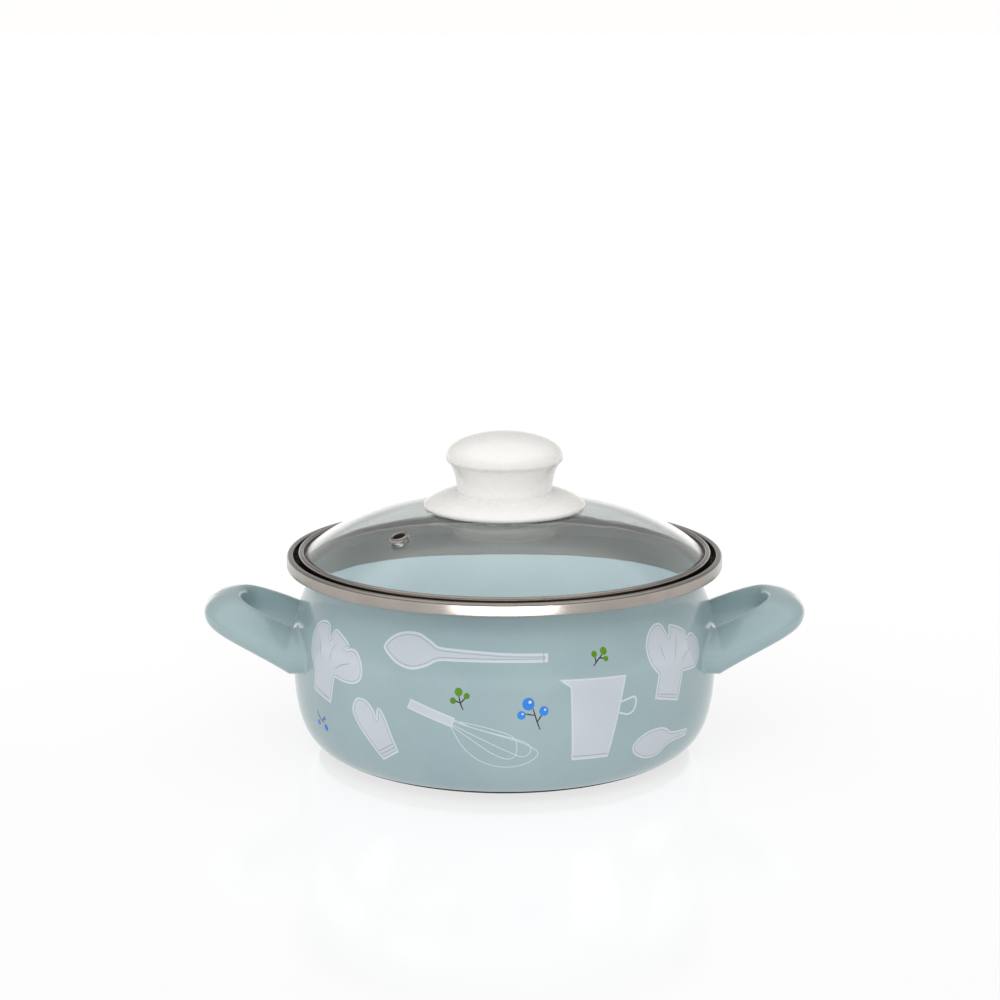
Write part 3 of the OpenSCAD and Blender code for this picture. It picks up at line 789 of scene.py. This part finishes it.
jug = Motif("motif_jug", 38.3, -12)
jug.outlined([(-15.8, 18.4, C), (15.6, 17.2, C), (7.8, -18.3, C), (-9.4, -17.8, C), (-10.6, 14.6, C)],
             edge_w=0.7, line_in=0)
jug_loop = open_curve([(13, 5.8), (17, 6.6), (20, 6.9), (20.8, 4.6), (19.7, 1.2), (16.6, -0.3),
                       (12.2, 1.2)])
jug.stroke(jug_loop, 0.9, LIFT_JUG_LOOP, MOTIF_EDGE, closed=False)
jug.details([((-9, -16), (7.6, -16.6))])
jug.finish()

ladle = Motif("motif_ladle", 77.7, -29.1)
ladle.outlined([(1.6, 5.4), (-3.2, 7), (-10.8, 6.7), (-16.8, 4), (-18.9, 0.6), (-16.7, -3.2),
                (-9.6, -6.6), (-1.8, -6.6), (2.8, -3.4), (8, -2.2), (18.1, -2.4, C), (18.9, 1.2, C),
                (8, 2.6), (3.6, 3.8)])
ladle.finish()


def sprig(name, u, s, mat, stems, berries, shine=0.0):
    """A twig with round leaves or berries, each (x, y, radius). shine is a pale spot's share of it."""
    m = Motif(name, u, s)
    for line in stems:
        m.stroke(open_curve(line), 0.55, LIFT_STEM, STEM, closed=False, ends=0.6)
    for x, y, r in berries:
        m.disc(x, y, r, r * 1.08, LIFT_EDGE, mat)
        if shine:
            m.disc(x + r * 0.25, y + r * 0.3, r * shine, r * shine, LIFT_SHINE, SHINE, n=16)
    m.finish()


sprig("motif_leaves_left", -18.8, -2.3, LEAF,
      [[(1.4, -3.9), (0.2, -1), (-0.4, 2.4)], [(0.3, -1), (2.6, 1.6)], [(0, -0.9), (-2.6, 0.2)]],
      [(-0.5, 3.8, 1.7), (2.9, 2.2, 1.25), (-2.9, -0.1, 1.3)])
sprig("motif_leaves_right", 42.2, 13.6, LEAF,
      [[(-3.7, -2.9), (-1.8, -0.9), (1.2, 1.8)], [(-0.6, 0.2), (2, -0.2)], [(-2.4, -1.4), (-2.6, 1)]],
      [(1.8, 2.9, 1.6), (-2.8, 2.1, 1.3), (2.5, -0.4, 1.1)])
sprig("motif_berries_middle", 11.6, -9, BERRY,
      [[(3.2, -5.7), (1.8, -2), (0.1, 3.8)], [(0.7, 0.7), (-3.2, 1.5)], [(2, -2.1), (4.2, 1.4)]],
      [(-1.8, 5.7, 2.55), (4.7, 2.4, 1.95), (-4.7, 0.9, 1.75)], shine=0.26)
sprig("motif_berries_left", -95.2, -23.7, BERRY,
      [[(-3.4, 3.4), (-1.6, 0.4), (2, -1)], [(2.4, 1.6), (0.4, -0.4)]],
      [(3, -3, 1.5), (-3, -2, 1.2), (2.6, 1.2, 0.9)])

# ---------------------------------------------------------------- stage
floor_mesh = bpy.data.meshes.new("floor")
half, floor_z = 40.0, -0.0001
corners = [(x * half, y * half, floor_z) for x, y in ((-1, -1), (1, -1), (1, 1), (-1, 1))]
floor_mesh.from_pydata(corners, [], [(0, 1, 2, 3)])
floor_mesh.materials.append(floor_material())
floor = bpy.data.objects.new("floor", floor_mesh)
bpy.context.scene.collection.objects.link(floor)

world = bpy.data.worlds.new("studio")
bpy.context.scene.world = world
world.use_nodes = True
sky = world.node_tree
CAP = 2.9  # brightness of the soft light overhead
back = sky.nodes["Background"]
way = node(sky, "ShaderNodeTexCoord").outputs["Generated"]
up = node(sky, "ShaderNodeSeparateXYZ", {"Vector": way}).outputs[2]
ramp = node(sky, "ShaderNodeValToRGB", {"Fac": spread(sky, up, -0.1, 1, 0, 1)})
ramp.color_ramp.interpolation = "B_SPLINE"
stops = ramp.color_ramp.elements
stops[0].position, stops[0].color = 0.0, (1.0, 1.0, 1.0, 1)
stops[1].position, stops[1].color = 1.0, (CAP, CAP, CAP, 1)
# a white horizon, a darker belt above it that shades the glass and steel, and the light overhead
for place, level in ((0.09, 1.0), (0.15, 1.0), (0.20, 0.62), (0.35, 0.42),
                     (0.60, 0.42), (0.74, 0.55), (0.84, 0.9 * CAP), (0.92, CAP)):
    stops.new(place).color = (level, level * 0.99, level * 0.975, 1)
sky.links.new(ramp.outputs["Color"], back.inputs["Color"])
back.inputs["Strength"].default_value = 1.0


def soft_light(name, where, target, size, power, tint=(1, 1, 1)):
    lamp = bpy.data.lights.new(name, "AREA")
    lamp.shape, lamp.size, lamp.size_y = "RECTANGLE", size[0], size[1]
    lamp.energy, lamp.color = power, tint
    obj = bpy.data.objects.new(name, lamp)
    bpy.context.scene.collection.objects.link(obj)
    obj.location = where
    obj.rotation_euler = (Vector(target) - Vector(where)).to_track_quat("-Z", "Y").to_euler()
    return obj


front = soft_light("front_light", (-0.2, -1.6, 1.2), (0, 0, 0.05), (1.8, 1.3), 18.5)
front.visible_glossy = False
# The light that comes back up off the pot's floor, stronger than it would be under a real lid.
inner_light = soft_light("inner_light", (0, 0, 0.006), (0, 0, 1), (0.14, 0.14), 0.26, (1, 0.89, 0.88))
inner_light.data.shape = "DISK"
# A low strip in front, which lights only the steel bands.
strip = soft_light("strip_light", (0, -0.32, 0.042), (0, -0.09, 0.088), (0.26, 0.07), 0.40)
steel_pieces = bpy.data.collections.new("steel_pieces")
for name in ("pot_steel_band", "lid_steel_band"):
    steel_pieces.objects.link(bpy.data.objects[name])
strip.light_linking.receiver_collection = steel_pieces
for lamp in (inner_light, strip):
    lamp.visible_camera = False
    lamp.visible_transmission = False
inner_light.visible_glossy = False

# ---------------------------------------------------------------- camera
LENS, SENSOR = 81.98, 36.0
camera_data = bpy.data.cameras.new("camera")
camera_data.lens, camera_data.sensor_width = LENS, SENSOR
camera_data.clip_start, camera_data.clip_end = 0.05, 200
camera = bpy.data.objects.new("camera", camera_data)
bpy.context.scene.collection.objects.link(camera)
camera.location = (-0.002, -1.0, 0.32504)
camera.rotation_euler = (math.radians(90 - 11.979), 0, 0)
bpy.context.scene.camera = camera
bpy.context.scene.view_settings.view_transform = "Standard"
